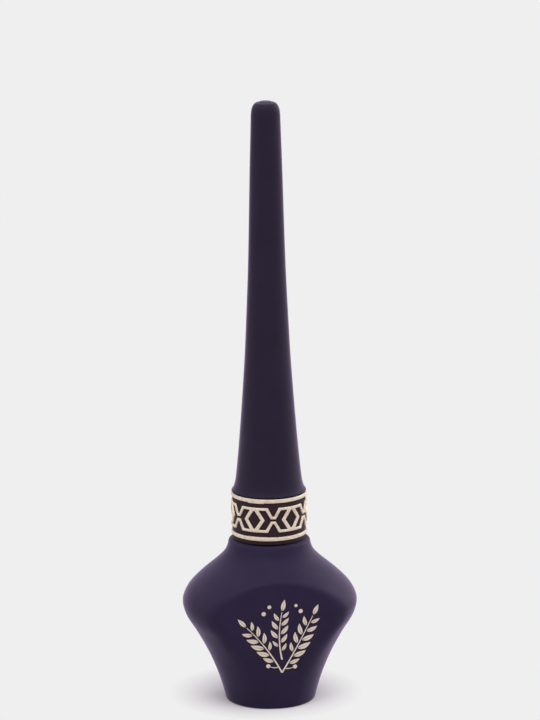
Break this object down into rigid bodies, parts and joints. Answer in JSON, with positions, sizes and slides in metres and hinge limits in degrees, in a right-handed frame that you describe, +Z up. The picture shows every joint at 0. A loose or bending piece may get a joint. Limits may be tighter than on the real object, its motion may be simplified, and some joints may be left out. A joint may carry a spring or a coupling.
{
  "type": "liquid eyeliner bottle",
  "caption": "Vase-shaped bottle with flat panels, threaded neck and wiper; long tapered screw cap with a gilt fretwork collar carries a rod and brush tip.",
  "frame": {"origin": "middle of the bottle's base, on the surface that it stands on", "axes": "+Z up along the bottle's and the cap's common axis, -Y out of the front panel, which faces 5.7 degrees downwards, X across the panels"},
  "size_m": [0.0374, 0.0268, 0.13],
  "materials": {
    "bottle_body": "soft-touch matte plum",
    "base_label": "plain film sticker",
    "wiper": "natural polyethylene",
    "seal_gasket": "soft foamed liner",
    "rod": "smooth black plastic",
    "bristles": "fine synthetic hair",
    "inner_cap": "natural polypropylene",
    "cap_shell": "soft-touch matte plum",
    "collar": "matte plum",
    "collar_rim_lower": "satin pale-gold foil",
    "collar_rim_upper": "satin pale-gold foil",
    "collar_fretwork": "satin pale-gold foil"
  },
  "bodies": {
    "bottle": {"bottle_body": "bottle_body", "base_label": "base_label", "wiper": "wiper"},
    "seal": {"seal_gasket": "seal_gasket"},
    "applicator": {"rod": "rod", "bristles": "bristles"},
    "cap": {"inner_cap": "inner_cap", "cap_shell": "cap_shell", "collar": "collar", "collar_rim_lower": "collar_rim_lower", "collar_rim_upper": "collar_rim_upper", "collar_fretwork": "collar_fretwork"}
  },
  "joints": [
    {"name": "cap_pull", "type": "slide", "parent": "bottle", "child": "seal", "axis": [0, 0, 1], "range_m": [0, 0.05]},
    {"name": "thread_rise", "type": "slide", "parent": "seal", "child": "applicator", "axis": [0, 0, 1], "range_m": [0, 0.00375]},
    {"name": "cap_turn", "type": "hinge", "parent": "applicator", "child": "cap", "pos_m": [0, 0, 0.0361], "axis": [0, 0, 1], "range_deg": [0, 540]}
  ],
  "couplings": [
    {"joint": "thread_rise", "follows": "cap_turn", "m_per_rad": 0.00039789}
  ]
}
